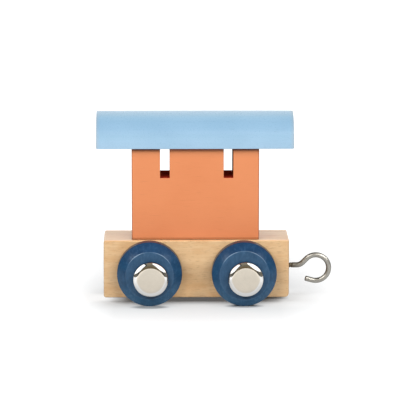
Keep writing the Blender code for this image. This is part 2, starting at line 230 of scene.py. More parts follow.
# ---------------------------------------------------------------- node material helpers
class Nodes:
    """Small wrapper to wire a Principled material."""

    def __init__(self, name):
        self.mat = bpy.data.materials.new(name)
        self.mat.use_nodes = True
        self.tree = self.mat.node_tree
        self.bsdf = self.tree.nodes["Principled BSDF"]
        self.coords = self.add("ShaderNodeTexCoord")

    def add(self, kind, **props):
        node = self.tree.nodes.new(kind)
        for key, value in props.items():
            setattr(node, key, value)
        return node

    def link(self, a, b):
        self.tree.links.new(a, b)

    def put(self, socket, value):
        """Link a socket, or set its constant."""
        if isinstance(value, bpy.types.NodeSocket):
            self.link(value, socket)
        else:
            socket.default_value = value

    def place(self, scale, offset=(0, 0, 0), rotate=(0, 0, 0)):
        """Object coordinates, scaled."""
        node = self.add("ShaderNodeMapping")
        node.inputs["Location"].default_value = offset
        node.inputs["Rotation"].default_value = rotate
        node.inputs["Scale"].default_value = scale
        self.link(self.coords.outputs["Object"], node.inputs["Vector"])
        return node.outputs["Vector"]

    def noise(self, vector, scale=1.0, detail=4.0, rough=0.55, distort=0.0):
        node = self.add("ShaderNodeTexNoise")
        self.link(vector, node.inputs["Vector"])
        node.inputs["Scale"].default_value = scale
        node.inputs["Detail"].default_value = detail
        node.inputs["Roughness"].default_value = rough
        node.inputs["Distortion"].default_value = distort
        return node.outputs["Fac"]

    def span(self, value, low, high, to_low=0.0, to_high=1.0):
        node = self.add("ShaderNodeMapRange")
        node.clamp = True
        self.put(node.inputs["Value"], value)
        node.inputs["From Min"].default_value = low
        node.inputs["From Max"].default_value = high
        node.inputs["To Min"].default_value = to_low
        node.inputs["To Max"].default_value = to_high
        return node.outputs["Result"]

    def math(self, op, a, b=0.0):
        node = self.add("ShaderNodeMath", operation=op)
        self.put(node.inputs[0], a)
        self.put(node.inputs[1], b)
        return node.outputs[0]

    def mix(self, fac, a, b, blend="MIX"):
        node = self.add("ShaderNodeMix", data_type="RGBA", blend_type=blend)
        self.put(node.inputs[0], fac)
        self.put(node.inputs[6], a if isinstance(a, bpy.types.NodeSocket) else (*a, 1.0))
        self.put(node.inputs[7], b if isinstance(b, bpy.types.NodeSocket) else (*b, 1.0))
        return node.outputs[2]

    def bump(self, height, strength, distance, normal=None):
        node = self.add("ShaderNodeBump")
        node.inputs["Strength"].default_value = strength
        node.inputs["Distance"].default_value = distance
        self.link(height, node.inputs["Height"])
        if normal is not None:
            self.link(normal, node.inputs["Normal"])
        return node.outputs["Normal"]

    def finish(self, **values):
        for key, value in values.items():
            self.put(self.bsdf.inputs[key.replace("_", " ")], value)
        return self.mat


def bare_wood(name):
    """Pale close-grained wood: growth rings about a pith line along X, soft streaks, short dark flecks."""
    n = Nodes(name)
    drift = n.noise(n.place((14, 60, 60), (3.1, 0.4, 1.7)), 1.0, 2.0, 0.5)
    parts = n.add("ShaderNodeSeparateXYZ")
    n.link(n.place((1000, 1000, 1000), (0, -34, 41)), parts.inputs[0])
    radial = n.math("SQRT", n.math("ADD", n.math("POWER", parts.outputs["Y"], 2.0), n.math("POWER", parts.outputs["Z"], 2.0)))
    rings = n.math("ADD", n.math("MULTIPLY", radial, 0.42), n.math("MULTIPLY", drift, 3.2))
    wave = n.math("PINGPONG", rings, 1.0)
    late = n.span(wave, 0.55, 1.0)
    streak = n.noise(n.place((55, 900, 900), (0.0, 2.0, 5.0)), 1.0, 5.0, 0.62)
    fleck = n.noise(n.place((420, 3600, 3600), (7.0, 1.0, 2.0)), 1.0, 2.0, 0.5)
    cloud = n.noise(n.place((35, 70, 70), (1.3, 8.0, 4.0)), 1.0, 3.0, 0.5)
    blotch = n.noise(n.place((190, 420, 420), (5.0, 2.0, 3.0)), 1.0, 3.0, 0.55)
    tone = n.mix(n.span(streak, 0.28, 0.74), (0.682, 0.414, 0.195), (0.808, 0.538, 0.286))
    tone = n.mix(n.span(blotch, 0.42, 0.66, 0.0, 0.66), tone, (0.668, 0.362, 0.150))
    tone = n.mix(n.math("MULTIPLY", late, 0.35), tone, (0.67, 0.395, 0.178))
    tone = n.mix(n.span(cloud, 0.35, 0.70, 0.0, 0.40), tone, (0.875, 0.630, 0.372))
    tone = n.mix(n.span(fleck, 0.58, 0.72, 0.0, 0.60), tone, (0.42, 0.23, 0.10))
    # painted shade: the middle of the block between the wheels is darker, where the wheels' shadows meet
    spot = n.add("ShaderNodeSeparateXYZ")
    n.link(n.place((1000, 1000, 1000)), spot.inputs[0])
    painted_shade_mid = n.math("MULTIPLY", n.span(spot.outputs["Z"], 5.0, 9.8), n.span(spot.outputs["Z"], 12.0, 15.8, 1.0, 0.0))
    painted_shade_mid = n.math("MULTIPLY", painted_shade_mid, n.math("MULTIPLY", n.span(spot.outputs["X"], -32.0, -16.0), n.span(spot.outputs["X"], 3.0, 19.0, 1.0, 0.0)))
    tone = n.mix(painted_shade_mid, tone, n.mix(1.0, tone, (0.86, 0.85, 0.84), "MULTIPLY"))
    off = n.math("ABSOLUTE", n.math("ADD", spot.outputs["X"], 5.6))
    # painted light: the low wood just beside the wheels is lighter
    painted_light_beside_wheels = n.math("MULTIPLY", n.span(off, 1.2, 4.2), n.span(off, 9.0, 13.0, 1.0, 0.0))
    painted_light_beside_wheels = n.math("MULTIPLY", painted_light_beside_wheels, n.math("MULTIPLY", n.span(spot.outputs["Z"], 1.0, 3.0), n.span(spot.outputs["Z"], 6.5, 11.0, 1.0, 0.0)))
    tone = n.mix(painted_light_beside_wheels, tone, n.mix(1.0, tone, (1.15, 1.13, 1.10), "MULTIPLY"))
    # painted shade: darker low down in the middle, between the wheels
    foot = n.math("MULTIPLY", n.span(off, 1.5, 4.5, 1.0, 0.0), n.span(spot.outputs["Z"], 4.6, 3.2))
    tone = n.mix(foot, tone, n.mix(1.0, tone, (0.90, 0.90, 0.91), "MULTIPLY"))
    # painted highlight: the left end is paler and bluer
    pale = n.math("MULTIPLY", n.span(spot.outputs["X"], -30.0, -37.0), n.span(spot.outputs["Z"], 23.0, 20.0))
    tone = n.mix(pale, tone, n.mix(1.0, tone, (1.03, 1.07, 1.14), "MULTIPLY"))
    # the sawn ends drink the light: darker, with pores in place of streaks; the top is painted a little darker and
    # greyer as shade and sheen, and its strips beside the cabin are painted lighter again as a highlight
    facing = n.add("ShaderNodeSeparateXYZ")
    n.link(n.coords.outputs["Normal"], facing.inputs[0])
    tone = n.mix(n.span(facing.outputs["Z"], 0.5, 0.9), tone, n.mix(1.0, tone, (0.85, 0.885, 0.935), "MULTIPLY"))
    painted_highlight_ledge = n.math("MULTIPLY", n.span(facing.outputs["Z"], 0.5, 0.9), n.span(n.math("ABSOLUTE", spot.outputs["Y"]), CA_HI.y - 0.1, CA_HI.y + 0.3))
    tone = n.mix(painted_highlight_ledge, tone, n.mix(1.0, tone, (1.30, 1.22, 1.14), "MULTIPLY"))
    end = n.span(n.math("ABSOLUTE", facing.outputs["X"]), 0.55, 0.95)
    pores = n.noise(n.place((1500, 3200, 3200), (2.0, 0.0, 9.0)), 1.0, 3.0, 0.6)
    end_tone = n.mix(n.span(pores, 0.42, 0.66), (0.47, 0.27, 0.125), (0.66, 0.42, 0.22))
    end_tone = n.mix(n.math("MULTIPLY", late, 0.45), end_tone, (0.42, 0.23, 0.10))
    tone = n.mix(n.math("MULTIPLY", end, 0.85), tone, end_tone)
    height = n.math("ADD", n.math("MULTIPLY", streak, 0.6), n.math("MULTIPLY", fleck, 0.4))
    normal = n.bump(height, 0.35, 0.00012)
    rough = n.span(streak, 0.3, 0.7, 0.40, 0.32)
    n.finish(Base_Color=tone, Roughness=rough, Normal=normal)
    n.bsdf.inputs["Specular IOR Level"].default_value = 0.5
    return n.mat


def painted_wood(name, colour, deep, light, grain_axis, rough, specular=0.4, tints=(), bands=()):
    """Thin sprayed paint: fine orange peel, the wood's grain just showing through, slow colour drift.

    tints is a list of (axis of the normal, four limits of a soft window on its size, colour factor), used to paint
    light and shade by which way a face turns; bands is the same for the place along an axis, in millimetres, used for
    painted shade and for lighter strips.
    """
    n = Nodes(name)
    along = {"X": (60, 1100, 1100), "Z": (1100, 1100, 60)}[grain_axis]
    fine = {"X": (260, 4200, 4200), "Z": (4200, 4200, 260)}[grain_axis]
    grain = n.noise(n.place(along, (1.0, 4.0, 2.0)), 1.0, 4.0, 0.6)
    pores = n.noise(n.place(fine, (5.0, 2.0, 1.0)), 1.0, 2.0, 0.5)
    peel = n.noise(n.place((3000, 3000, 3000)), 1.0, 2.0, 0.5)
    drift = n.noise(n.place((42, 42, 42), (2.0, 3.0, 7.0)), 1.0, 3.0, 0.5)
    tone = n.mix(n.span(drift, 0.32, 0.68), deep, light)
    tone = n.mix(n.span(grain, 0.30, 0.70, 0.0, 0.55), tone, colour)
    tone = n.mix(n.span(pores, 0.62, 0.78, 0.0, 0.30), tone, tuple(c * 0.72 for c in deep))
    facing = n.add("ShaderNodeSeparateXYZ")
    n.link(n.coords.outputs["Normal"], facing.inputs[0])
    # painted light and shade: each tint lightens or darkens faces by which way they turn
    for axis, (a, b, c, d), factor in tints:
        size = n.math("ABSOLUTE", facing.outputs[axis])
        window = n.math("MULTIPLY", n.span(size, a, b), n.span(size, c, d, 1.0, 0.0))
        tone = n.mix(window, tone, n.mix(1.0, tone, factor, "MULTIPLY"))
    place = n.add("ShaderNodeSeparateXYZ")
    n.link(n.place((1000, 1000, 1000)), place.inputs[0])
    # bands: painted shade, or lighter strips, by place along an axis
    for axis, (a, b, c, d), factor in bands:
        window = n.math("MULTIPLY", n.span(place.outputs[axis], a, b), n.span(place.outputs[axis], c, d, 1.0, 0.0))
        tone = n.mix(window, tone, n.mix(1.0, tone, factor, "MULTIPLY"))
    height = n.math("ADD", n.math("MULTIPLY", grain, 0.5), n.math("ADD", n.math("MULTIPLY", peel, 0.25), n.math("MULTIPLY", pores, -0.25)))
    normal = n.bump(height, 0.28, 0.00010)
    n.finish(Base_Color=tone, Roughness=n.span(peel, 0.3, 0.7, rough - 0.05, rough + 0.06), Normal=normal)
    n.bsdf.inputs["Specular IOR Level"].default_value = specular
    return n.mat


def slot_painted_shade(name):
    """Inside of the saw cuts: a torn surface, dark red-brown and quite dull; the darkness is painted shade, deepest on
    the floor of the cut and towards its back.
    """
    n = Nodes(name)
    torn = n.noise(n.place((900, 900, 2600), (3.0, 1.0, 4.0)), 1.0, 4.0, 0.65)
    # painted shade: the walls and floor of the covered cut are dark
    wall = n.mix(n.span(torn, 0.3, 0.7), (0.30, 0.075, 0.030), (0.42, 0.120, 0.050))
    floor = n.mix(n.span(torn, 0.3, 0.7), (0.340, 0.026, 0.012), (0.520, 0.048, 0.022))
    facing = n.add("ShaderNodeSeparateXYZ")
    n.link(n.coords.outputs["Normal"], facing.inputs[0])
    # painted shade: the floor of the cut is darker and redder than its walls
    tone = n.mix(n.span(facing.outputs["Z"], 0.4, 0.9), wall, floor)
    place = n.add("ShaderNodeSeparateXYZ")
    n.link(n.place((1000, 1000, 1000)), place.inputs[0])
    # painted shade: lighter at the front of the cut, darker towards its back
    depth = n.span(place.outputs["Y"], -8.7, 8.7, 1.30, 0.42)
    tone = n.mix(1.0, tone, n.mix(depth, (0.0, 0.0, 0.0), (1.0, 1.0, 1.0)), "MULTIPLY")
    n.finish(Base_Color=tone, Roughness=n.span(torn, 0.3, 0.7, 0.86, 0.98), Normal=n.bump(torn, 0.5, 0.00015))
    n.bsdf.inputs["Specular IOR Level"].default_value = 0.0
    return n.mat


def lacquered_wood(name, deep, light, face, wear_and_painted_highlight):
    """Pigmented lacquer on a turned wheel: faint grain below; painted light and shade, with a lighter face, darker
    upper shoulders and tread, lighter lower shoulders; along the face's edge a lighter ring, faint rubbed wear all
    round and a painted highlight in arcs at its upper left and right, where the lacquer is smoother.
    """
    n = Nodes(name)
    grain = n.noise(n.place((700, 90, 260), (2.0, 1.0, 6.0)), 1.0, 4.0, 0.6)
    drift = n.noise(n.place((110, 110, 110), (4.0, 9.0, 1.0)), 1.0, 3.0, 0.5)
    peel = n.noise(n.place((1500, 1500, 1500)), 1.0, 2.0, 0.5)
    rub = n.noise(n.place((190, 190, 190), (8.0, 3.0, 5.0)), 1.0, 3.0, 0.6)
    normal_parts = n.add("ShaderNodeSeparateXYZ")
    n.link(n.coords.outputs["Normal"], normal_parts.inputs[0])
    flat = n.math("ABSOLUTE", normal_parts.outputs["Y"])
    tone = n.mix(n.span(drift, 0.30, 0.70), deep, light)
    # painted light: the flat face is a lighter copy of the lacquer than the shoulders
    tone = n.mix(n.span(flat, 0.78, 0.97), tone, n.mix(n.span(drift, 0.30, 0.70), tuple(c * 0.95 for c in face), tuple(c * 1.05 for c in face)))
    speck = n.noise(n.place((1500, 500, 900), (6.0, 2.0, 3.0)), 1.0, 3.0, 0.6)
    cloud = n.noise(n.place((330, 330, 330), (1.0, 6.0, 2.0)), 1.0, 2.0, 0.5)
    tone = n.mix(n.span(cloud, 0.52, 0.68, 0.0, 0.45), tone, n.mix(1.0, tone, (0.62, 0.72, 0.78), "MULTIPLY"))
    tone = n.mix(n.span(cloud, 0.48, 0.34, 0.0, 0.60), tone, n.mix(1.0, tone, (1.50, 1.32, 1.24), "MULTIPLY"))
    tone = n.mix(n.span(grain, 0.38, 0.70, 0.0, 0.45), tone, tuple(c * 0.72 for c in deep))
    tone = n.mix(n.span(speck, 0.50, 0.72, 0.0, 0.35), tone, tuple(c * 1.45 for c in face))
    # painted shade: the tread, turned sideways, goes very dark
    tone = n.mix(n.span(flat, 0.60, 0.38, 0.0, 0.70), tone, (0.004, 0.014, 0.036))
    # painted light: downward-facing shoulders lighter, as if lit from the floor
    lower = n.span(normal_parts.outputs["Z"], -0.10, -0.80, 0.0, 1.0)
    tone = n.mix(lower, tone, n.mix(1.0, tone, (2.95, 2.45, 2.12), "MULTIPLY"))
    # painted shade: upward-facing shoulders darker
    upper = n.math("MULTIPLY", n.span(normal_parts.outputs["Z"], 0.25, 0.60), n.span(flat, 0.93, 0.82))
    tone = n.mix(upper, tone, n.mix(1.0, tone, (0.92, 0.80, 0.86), "MULTIPLY"))
    # a lighter ring on the face's edge: faint rubbed wear all round, and a painted highlight in arcs to the upper left
    # and right; the edge is also smoother
    edge = n.math("MULTIPLY", n.span(flat, 0.82, 0.88), n.span(flat, 0.95, 0.985, 1.0, 0.0))
    round_y = n.math("SQRT", n.math("MAXIMUM", n.math("SUBTRACT", 1.0, n.math("POWER", flat, 2.0)), 0.01))
    turn = n.math("DIVIDE", normal_parts.outputs["Z"], round_y)
    painted_highlight_arcs = n.math("MULTIPLY", n.span(turn, 0.45, 0.62, 0.16, 1.0), n.span(turn, 0.90, 0.98, 1.0, 0.30))
    tone = n.mix(n.math("MULTIPLY", edge, n.math("MULTIPLY", painted_highlight_arcs, n.span(rub, 0.36, 0.64, 0.55, 1.0))), tone, wear_and_painted_highlight)
    normal = n.bump(n.math("ADD", n.math("MULTIPLY", peel, 0.5), n.math("MULTIPLY", grain, 0.5)), 0.10, 0.00010)
    rough = n.math("SUBTRACT", n.span(peel, 0.3, 0.7, 0.28, 0.34), n.math("MULTIPLY", edge, 0.16))
    n.finish(Base_Color=tone, Roughness=rough, Normal=normal)
    n.bsdf.inputs["Specular IOR Level"].default_value = 0.22
    return n.mat


def plated_metal(name, colour, rough, wear=0.05, edge=None, screw=None, rim=None, wall=None):
    """Bright nickel over pressed steel: slight haze, hairline scratches; edge is a darker tone up and down the sides as
    painted shade, screw a darker, browner tone near the thread as painted reflection of the wood and shade, rim a
    whiter tone on the rounded edge of a cap as painted reflection, wall a dark tone round its side as painted shade."""
    n = Nodes(name)
    haze = n.noise(n.place((260, 260, 260), (1.0, 2.0, 3.0)), 1.0, 3.0, 0.55)
    hair = n.noise(n.place((300, 5200, 5200), (0.0, 5.0, 1.0), (0.0, 0.5, 0.2)), 1.0, 2.0, 0.5)
    tone = n.mix(n.span(haze, 0.30, 0.70), tuple(c * 0.95 for c in colour), tuple(min(1.0, c * 1.03) for c in colour))
    # painted shade: darker up and down the sides of the wire
    if edge:
        facing = n.add("ShaderNodeSeparateXYZ")
        n.link(n.coords.outputs["Normal"], facing.inputs[0])
        tone = n.mix(n.span(n.math("ABSOLUTE", facing.outputs["Y"]), 0.30, 0.85, 1.0, 0.0), tone, edge)
    if rim:
        facing = n.add("ShaderNodeSeparateXYZ")
        n.link(n.coords.outputs["Normal"], facing.inputs[0])
        size = n.math("ABSOLUTE", facing.outputs["Y"])
        # painted reflection: the rounded edge, and its lower part, whiter
        low = n.math("MULTIPLY", n.span(facing.outputs["Z"], 0.0, -0.10), n.span(size, 0.9985, 0.97))
        tone = n.mix(n.math("MAXIMUM", n.span(size, 0.975, 0.90), low), tone, rim)
        # painted shade: dark round the cap's side
        tone = n.mix(n.span(size, 0.52, 0.36, 0.0, 1.0), tone, wall)
    # painted reflection of the wood and shade: darker and browner near the thread
    if screw:
        place = n.add("ShaderNodeSeparateXYZ")
        n.link(n.place((1000, 1000, 1000)), place.inputs[0])
        tone = n.mix(n.span(place.outputs["X"], CH_HI.x + 1.2, CH_HI.x + 5.5, 0.85, 0.0), tone, screw)
    rough_map = n.math("ADD", n.span(haze, 0.3, 0.7, rough * 0.85, rough * 1.2), n.span(hair, 0.62, 0.80, 0.0, wear))
    normal = n.bump(hair, 0.04, 0.00003)
    n.finish(Base_Color=tone, Roughness=rough_map, Normal=normal)
    n.bsdf.inputs["Metallic"].default_value = 1.0
    return n.mat


MAT_WOOD = bare_wood("bare_wood")
# orange paint: edge bevels and upward or downward faces painted darker as shade; painted shade low on the cabin, in two
# bands under the roof and as a dark line and band at its foot
MAT_ORANGE = painted_wood("orange_paint", (0.780, 0.273, 0.109), (0.750, 0.250, 0.096), (0.795, 0.283, 0.117), "X", 0.55,
                          tints=[("X", (0.25, 0.55, 0.93, 0.99), (0.62, 0.52, 0.50)), ("Z", (0.30, 0.60, 1.2, 1.3), (0.75, 0.66, 0.62))],
                          bands=[("Z", (0.0, 1.0, 25.0, 36.0), (0.94, 0.895, 0.88)), ("Z", (CA_HI.z - 0.9, CA_HI.z - 0.4, 90.0, 91.0), (0.82, 0.70, 0.82)),
                                 ("Z", (CA_HI.z - 3.4, CA_HI.z - 0.9, 90.0, 91.0), (0.90, 0.92, 0.91)),
                                 ("Z", (CA_LO.z - 0.15, CA_LO.z + 0.15, CA_LO.z + 0.35, CA_LO.z + 0.60), (0.62, 0.62, 0.58)), ("Z", (0.0, 1.0, CA_LO.z + 0.5, CA_LO.z + 1.6), (0.90, 0.96, 0.98))])
MAT_SLOT_SHADE = slot_painted_shade("slot_painted_shade")
# light blue paint: upright faces painted lighter, the curved shoulder darker and the top warmer, as painted light,
# shade and sheen; end bevels darker as painted shade; a lighter, warmer strip near each end
MAT_ROOF = painted_wood("light_blue_paint", (0.302, 0.494, 0.646), (0.275, 0.459, 0.613), (0.329, 0.521, 0.676), "X", 0.30, 0.5,
                        tints=[("Z", (-0.1, 0.0, 0.10, 0.30), (1.142, 1.088, 1.099)), ("Z", (0.20, 0.36, 0.74, 0.90), (0.872, 0.900, 0.945)),
                               ("Z", (0.84, 0.92, 1.2, 1.3), (1.0, 0.95, 0.94)),
                               ("X", (0.30, 0.80, 0.93, 0.99), (0.92, 0.80, 0.72))],
                        bands=[("X", (-90.0, -80.0, RO_LO.x + 0.3, RO_LO.x + 1.5), (1.10, 0.97, 0.92)),
                               ("X", (RO_HI.x - 1.5, RO_HI.x - 0.3, 80.0, 90.0), (1.10, 0.97, 0.90))])
MAT_NAVY = lacquered_wood("navy_lacquer", (0.013, 0.060, 0.135), (0.018, 0.074, 0.160), (0.0370, 0.0945, 0.1785), (0.200, 0.300, 0.420))
# the cap's whiter rim and dark side wall, and the hook's dark sides and darker screw end, are painted reflection and
# shade
MAT_NICKEL = plated_metal("nickel_plate", (0.626, 0.566, 0.477), 0.08, rim=(0.74, 0.735, 0.72), wall=(0.16, 0.17, 0.18))
MAT_HOOK = plated_metal("hook_wire", (0.36, 0.345, 0.31), 0.34, edge=(0.115, 0.11, 0.092), screw=(0.085, 0.07, 0.045))
MAT_STEEL = plated_metal("axle_steel", (0.56, 0.56, 0.57), 0.26)
MAT_SPRING = plated_metal("spring_steel", (0.30, 0.30, 0.32), 0.32)


def dress(ob, material, body, slot, *nodes):
    ob.data.materials.clear()
    ob.data.materials.append(material)
    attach(ob, body)
    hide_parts(*nodes)
    return ob


# ---------------------------------------------------------------- chassis
def bevel_by_weight(ob, width, segments):
    mod = ob.modifiers.new("edges", "BEVEL")
    mod.width = width * MM
    mod.segments = segments
    mod.limit_method = "WEIGHT"
    mod.offset_type = "OFFSET"
    mod.use_clamp_overlap = True
    bake_modifiers(ob)


def make_chassis():
    bm = bmesh.new()
    size = CH_HI - CH_LO
    bmesh.ops.create_cube(bm, size=1.0, matrix=Matrix.Translation((CH_LO + CH_HI) / 2 * MM) @ Matrix.Diagonal((*(size * MM), 1.0)))
    widest = max(CHASSIS_TOE, *CHASSIS_EDGE.values())
    weight = bm.edges.layers.float.new("bevel_weight_edge")
    for edge in bm.edges:
        d = edge.verts[1].co - edge.verts[0].co
        toe = all(v.co.x > 0 and v.co.z / MM < CH_LO.z + 1 for v in edge.verts)
        brow = all(v.co.x > 0 and v.co.z / MM > CH_HI.z - 1 for v in edge.verts)
        edge[weight] = (CHASSIS_TOE if toe else CHASSIS_BROW if brow else CHASSIS_EDGE["XYZ"[max(range(3), key=lambda k: abs(d[k]))]]) / widest
    ob = to_object(bm, "chassis_wood")
    bevel_by_weight(ob, widest, 7)
    cutters = [rod_cutter(AXLE_BORE, size.y, (x, 0, AXLE_Z), "Y", flare=0.25) for x in AXLE_X.values()]
    cutters.append(rod_cutter(HOOK_PILOT, 2 * (HOOK_SCREW + 1.0), (CH_HI.x, 0, HOOK_HEIGHT), "X", segments=40))
    boolean_cut(ob, cutters + dowel_cutters("cabin_dowel_front", "cabin_dowel_rear"))
    even_normals(ob)
    return dress(ob, MAT_WOOD, "chassis", "natural_wood", "chassis_block")


# ---------------------------------------------------------------- cabin
def make_cabin():
    x0, x1, z0, z1 = CA_LO.x, CA_HI.x, CA_LO.z - 0.2, CA_HI.z
    mid = (x0 + x1) / 2
    floor = z1 + 0.3 - SLOT_DEPTH
    outline = [(x0, z0), (x1, z0), (x1, z1)]
    for centre in reversed(SLOT_X):
        a, b = mid + centre + SLOT_WIDTH / 2, mid + centre - SLOT_WIDTH / 2
        outline += [(a, z1), (a, floor), (b, floor), (b, z1)]
    outline.append((x0, z1))
    bm = bmesh.new()
    face = bm.faces.new([bm.verts.new(Vector((x, CA_LO.y, z)) * MM) for x, z in outline])
    made = bmesh.ops.extrude_face_region(bm, geom=[face])
    bmesh.ops.translate(bm, verts=[v for v in made["geom"] if isinstance(v, bmesh.types.BMVert)], vec=(0, (CA_HI.y - CA_LO.y) * MM, 0))
    bmesh.ops.recalc_face_normals(bm, faces=bm.faces)
    weight = bm.edges.layers.float.new("bevel_weight_edge")
    for edge in bm.edges:
        sawn = all(x0 + 1 < v.co.x / MM < x1 - 1 for v in edge.verts)
        foot = all(v.co.z / MM < z0 + 1 for v in edge.verts)
        edge[weight] = (SLOT_EDGE if sawn else CABIN_FOOT if foot else CABIN_EDGE) / CABIN_EDGE
    ob = to_object(bm, "cabin_painted")
    bevel_by_weight(ob, CABIN_EDGE, 5)
    boolean_cut(ob, dowel_cutters("cabin_dowel_front", "cabin_dowel_rear", "roof_dowel_front", "roof_dowel_rear"))
    even_normals(ob)
    dress(ob, MAT_ORANGE, "chassis", "orange_paint", "cabin_block")
    ob.data.materials.append(MAT_SLOT_SHADE)
    for poly in ob.data.polygons:
        c = poly.center / MM
        in_cut = min(abs(c.x - mid - x) for x in SLOT_X) < SLOT_WIDTH / 2 + 0.02 and c.z > floor - 0.02
        if in_cut and abs(poly.normal.y) < 0.6:
            poly.material_index = 1
    return ob


# ---------------------------------------------------------------- roof
def make_roof():
    section = [(-ROOF_RADIUS, 0.0), (ROOF_RADIUS, 0.0)] + arc(0, ROOF_SIDE, ROOF_RADIUS, 0, 180, 96)
    bm = bmesh.new()
    face = bm.faces.new([bm.verts.new(Vector((RO_LO.x, y, RO_LO.z + z)) * MM) for y, z in section])
    made = bmesh.ops.extrude_face_region(bm, geom=[face])
    bmesh.ops.translate(bm, verts=[v for v in made["geom"] if isinstance(v, bmesh.types.BMVert)], vec=((RO_HI.x - RO_LO.x) * MM, 0, 0))
    bmesh.ops.recalc_face_normals(bm, faces=bm.faces)
    weight = bm.edges.layers.float.new("bevel_weight_edge")
    for edge in bm.edges:
        if len(edge.link_faces) == 2 and edge.calc_face_angle() > math.radians(30):
            eave = all(abs(v.co.z / MM - RO_LO.z) < 0.01 for v in edge.verts) and abs(edge.verts[0].co.x - edge.verts[1].co.x) > 1 * MM
            edge[weight] = ROOF_EAVE / ROOF_EDGE if eave else 1.0
    ob = to_object(bm, "roof_painted")
    bevel_by_weight(ob, ROOF_EDGE, 6)
    boolean_cut(ob, dowel_cutters("roof_dowel_front", "roof_dowel_rear"))
    even_normals(ob)
    return dress(ob, MAT_ROOF, "chassis", "light_blue_paint", "roof")


# ---------------------------------------------------------------- wheels
def wheel_profile(face):
    """Closed section, outer face up: flat face, small rounded edge, steep shoulder that rolls over into the tread, small back edge."""
    half = WHEEL_WIDTH / 2
    turns = ((40.0, 50.0), (50.0, 90.0))
    means = []
    for a, b in turns:
        a, b = math.radians(a), math.radians(b)
        means.append(((math.sin(b) - math.sin(a)) / (b - a), (math.cos(a) - math.cos(b)) / (b - a)))
    (c1, s1), (c2, s2) = means
    out = WHEEL_RADIUS - face
    drop = max(WHEEL_SHOULDER, out + 0.18)
    det = c1 * s2 - c2 * s1
    lengths = ((out * s2 - c2 * drop) / det, (c1 * drop - s1 * out) / det)
    r, h = face, half
    shoulder = [(r, h)]
    for (a, b), length in zip(turns, lengths):
        for i in range(16):
            tilt = math.radians(a + (b - a) * (i + 0.5) / 16)
            r, h = r + math.cos(tilt) * length / 16, h - math.sin(tilt) * length / 16
            shoulder.append((r, h))
    scale = (WHEEL_RADIUS - face) / (shoulder[-1][0] - face)
    shoulder = [(face + (r - face) * scale, h) for r, h in shoulder]
    outer = [(WHEEL_BORE, half - 0.35), (WHEEL_BORE + 0.35, half)] + shoulder[:1] + shoulder[5:]
    outer = smooth_corners(outer, {1: 0.15, 2: 0.8}, 8)
    back = arc(WHEEL_RADIUS - WHEEL_BACK, WHEEL_BACK - half, WHEEL_BACK, 0, -90, 6)
    return outer + back + [(WHEEL_BORE + 0.35, -half), (WHEEL_BORE, 0.35 - half)]


def make_wheels():
    for end in ENDS:
        for side, sign in SIDES.items():
            low, high = node_box(f"wheel_{end}_{side}")
            ob = lathe(f"wheel_lacquered_{end}_{side}", wheel_profile(WHEEL_FACE[end]), True,
                       ((low.x + high.x) / 2, (low.y + high.y) / 2, WHEEL_Z), sign)
            even_normals(ob)
            dress(ob, MAT_NAVY, f"{end}_{side}_wheel", "navy_lacquer", f"wheel_{end}_{side}")


# ---------------------------------------------------------------- axle caps
def cap_profile():
    """Pressed cup, front face up: faintly domed face, full round edge, rolled rear lip."""
    face = CAP_RADIUS - CAP_ROUND
    skin = [(0.0, CAP_HEIGHT)]
    r, h = 0.0, CAP_HEIGHT
    for (r0, a0), (r1, a1) in zip(CAP_SLOPE, CAP_SLOPE[1:]):
        steps = max(6, int((a1 - a0) / 2.5))
        for i in range(steps):
            if a1 < 90.0:
                r = r0 + (r1 - r0) * (i + 1) / steps
                h -= (r1 - r0) / steps * math.tan(math.radians(a0 + (a1 - a0) * (i + 0.5) / steps))
            else:
                size = (r1 - r0) / (1.0 - math.sin(math.radians(a0)))
                a, b = (math.radians(a0 + (a1 - a0) * k / steps) for k in (i, i + 1))
                r, h = r + size * (math.sin(b) - math.sin(a)), h - size * (math.cos(a) - math.cos(b))
            skin.append((r, h))
    lip = CAP_RADIUS - 1.15
    rear = [(CAP_RADIUS, 0.22), (CAP_RADIUS - 0.06, 0.07), (CAP_RADIUS - 0.22, 0.0), (lip + 0.08, 0.0), (lip, 0.08), (lip, 0.38)]
    wall = CAP_RADIUS - CAP_WALL
    inner = CAP_ROUND - CAP_WALL
    inside = [(wall, 0.38)] + [(face + inner * math.sin(math.radians(a)), CAP_HEIGHT - CAP_WALL - inner * (1 - math.cos(math.radians(a))))
                               for a in range(90, -1, -15)] + [(0.0, CAP_HEIGHT - CAP_WALL)]
    return skin + rear + inside


def make_caps():
    for end in ENDS:
        for side, sign in SIDES.items():
            low, high = node_box(f"axle_cap_{end}_{side}")
            back = high.y if sign < 0 else low.y
            ob = lathe(f"cap_plated_{end}_{side}", cap_profile(), False, (AXLE_X[end], back, AXLE_Z), sign, 120)
            even_normals(ob)
            dress(ob, MAT_NICKEL, f"{end}_axle_set", "nickel_plate", f"axle_cap_{end}_{side}")


